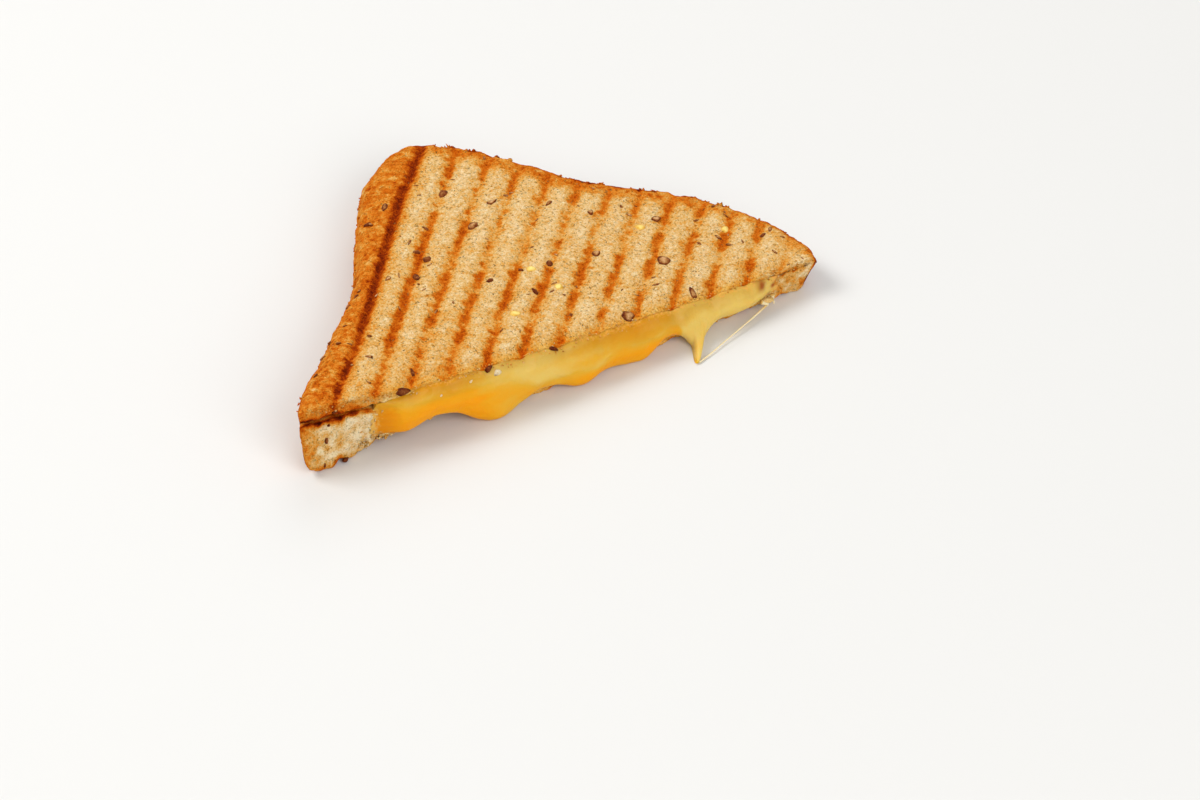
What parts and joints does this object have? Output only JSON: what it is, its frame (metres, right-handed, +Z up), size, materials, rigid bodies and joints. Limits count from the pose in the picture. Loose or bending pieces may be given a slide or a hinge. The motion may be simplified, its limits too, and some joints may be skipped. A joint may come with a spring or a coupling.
{
  "type": "grilled cheese sandwich half",
  "caption": "Triangular half of a pressed grilled cheese sandwich on seeded bread, with grill marks, browned crusts and melted orange and pale cheese running over the cut.",
  "frame": {"origin": "centre of the bounding box in plan, on the surface that the sandwich lies on", "axes": "+X along the cut from the thick corner to the thin tip, +Y from the cut towards the back crust, +Z up through the slices"},
  "size_m": [0.1568, 0.1038, 0.0203],
  "materials": {
    "toasted_bread": "dry toasted crumb with browned grill marks and crusts",
    "pale_cheese": "soft satin melted cheese",
    "orange_cheese": "soft satin melted cheese"
  },
  "bodies": {
    "root": {"top_bread": "toasted_bread", "bottom_bread": "toasted_bread", "pale_cheese": "pale_cheese", "orange_cheese": "orange_cheese"}
  },
  "joints": []
}
